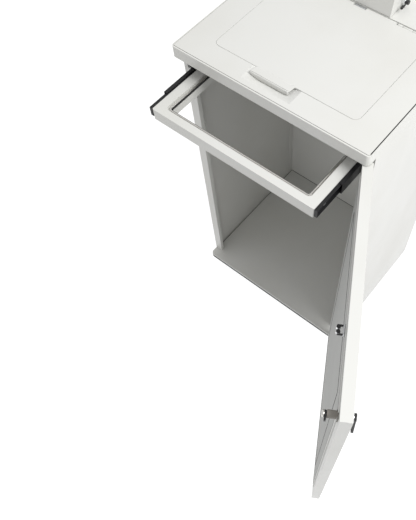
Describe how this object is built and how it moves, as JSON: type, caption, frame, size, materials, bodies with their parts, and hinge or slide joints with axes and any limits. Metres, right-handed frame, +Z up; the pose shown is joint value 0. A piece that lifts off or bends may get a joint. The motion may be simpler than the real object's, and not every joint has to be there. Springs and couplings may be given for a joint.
{
  "type": "trash compactor",
  "caption": "Free-standing white sheet-metal trash compactor with flush top lid, open front door with lever latch, pull-out bag frame on slides and rear console.",
  "frame": {"origin": "middle of the plinth's underside, on the floor under the middle of the cabinet", "axes": "+Z up, -Y towards the door, +X towards the door hinges"},
  "size_m": [0.7565, 0.882, 1.02],
  "materials": {
    "white_paint": "satin powder coat",
    "inner_paint": "satin powder coat",
    "dark_paint": "matte powder coat",
    "zinc": "zinc plated",
    "stainless": "brushed stainless",
    "chrome": "polished",
    "black_steel": "black slide finish",
    "black_plastic": "fine grain",
    "grey_plastic": "fine grain",
    "rubber": "matte",
    "grey_rubber": "matte",
    "bush_plastic": "moulded nylon",
    "foam": "rigid foam",
    "brass": "machined",
    "aluminium": "cast",
    "board": "lacquered board",
    "green_plastic": "gloss",
    "red_plastic": "gloss",
    "lamp": "clear lens"
  },
  "bodies": {
    "cabinet": {"side_left": "white_paint", "side_right": "white_paint", "rear_panel": "white_paint", "base_plate": "white_paint", "plinth": "dark_paint", "top_frame": "white_paint", "top_panel": "white_paint", "throat": "zinc", "lid_seal": "rubber", "lid_lock": "black_plastic", "lid_hinge_fixed": "white_paint", "lid_hinge_pins": "stainless", "console_housing": "white_paint", "console_gasket": "grey_rubber", "control_panel": "grey_plastic", "control_board": "board", "indicator_lamps": "lamp", "air_pump": "aluminium", "pump_bracket": "zinc", "air_valve": "brass", "air_swivel_fixed": "zinc", "vent_collar": "chrome", "power_inlet": "black_plastic", "slide_bracket_left": "zinc", "slide_bracket_right": "zinc", "slide_outer_left": "black_steel", "slide_outer_right": "black_steel", "hinge_leaves": "chrome", "hinge_pins": "stainless", "latch_keeper": "zinc", "rear_screws": "zinc"},
    "lid": {"lid_panel": "white_paint", "lid_liner": "inner_paint", "lid_knuckles": "white_paint", "lid_striker": "zinc", "press_bellows": "rubber", "air_swivel_lid": "zinc"},
    "press": {"press_plate": "stainless"},
    "bag_drawer": {"bag_frame": "white_paint", "bag_ring": "stainless", "slide_inner_left": "black_steel", "slide_inner_right": "black_steel", "slide_screws": "zinc"},
    "slide_mid_left": {"slide_mid_left": "black_steel"},
    "slide_mid_right": {"slide_mid_right": "black_steel"},
    "door": {"door_panel": "white_paint", "door_liner": "inner_paint", "door_core": "foam", "door_gasket": "grey_rubber", "door_catch": "black_steel", "door_hinge_leaves": "chrome", "latch_rose": "chrome", "latch_body": "bush_plastic"},
    "latch": {"latch_shaft": "stainless", "latch_lever": "black_plastic", "latch_cam": "black_steel"},
    "vent_lever": {"vent_lever": "black_plastic"},
    "button_start": {"button_start": "green_plastic"},
    "button_stop": {"button_stop": "red_plastic"},
    "mode_knob": {"mode_knob": "grey_plastic"}
  },
  "joints": [
    {"name": "door_hinge", "type": "hinge", "parent": "cabinet", "child": "door", "pos_m": [0.2458, -0.2154, 0.083], "axis": [0, 0, 1], "range_deg": [-30, 0]},
    {"name": "latch_turn", "type": "hinge", "parent": "door", "child": "latch", "pos_m": [0.49251, -0.62352, 0.871], "axis": [0.866, 0.5, 0], "range_deg": [0, 90]},
    {"name": "drawer_slide", "type": "slide", "parent": "cabinet", "child": "bag_drawer", "axis": [0, -1, 0], "range_m": [-0.146, 0.19]},
    {"name": "slide_left", "type": "slide", "parent": "cabinet", "child": "slide_mid_left", "axis": [0, -1, 0], "range_m": [-0.0965, 0.12558]},
    {"name": "slide_right", "type": "slide", "parent": "cabinet", "child": "slide_mid_right", "axis": [0, -1, 0], "range_m": [-0.068, 0.08849]},
    {"name": "lid_hinge", "type": "hinge", "parent": "cabinet", "child": "lid", "pos_m": [0, 0.114, 0.93], "axis": [-1, 0, 0], "range_deg": [0, 78]},
    {"name": "press_stroke", "type": "slide", "parent": "lid", "child": "press", "axis": [0, 0, -1], "range_m": [0, 0.034], "stiffness_N_per_m": 6000, "springref_m": -0.01, "deforming": ["press_bellows"]},
    {"name": "vent_turn", "type": "hinge", "parent": "cabinet", "child": "vent_lever", "pos_m": [0.072, 0.1665, 0.948], "axis": [-1, 0, 0], "range_deg": [0, 90]},
    {"name": "start_press", "type": "slide", "parent": "cabinet", "child": "button_start", "axis": [0, 0, -1], "range_m": [0, 0.003], "stiffness_N_per_m": 250},
    {"name": "stop_press", "type": "slide", "parent": "cabinet", "child": "button_stop", "axis": [0, 0, -1], "range_m": [0, 0.003], "stiffness_N_per_m": 250},
    {"name": "mode_turn", "type": "hinge", "parent": "cabinet", "child": "mode_knob", "pos_m": [0.026, 0.17725, 1.008], "axis": [0, 0, 1], "range_deg": [-135, 135]}
  ],
  "couplings": [
    {"joint": "slide_left", "follows": "drawer_slide", "ratio": 0.66096},
    {"joint": "slide_right", "follows": "drawer_slide", "ratio": 0.46575}
  ]
}
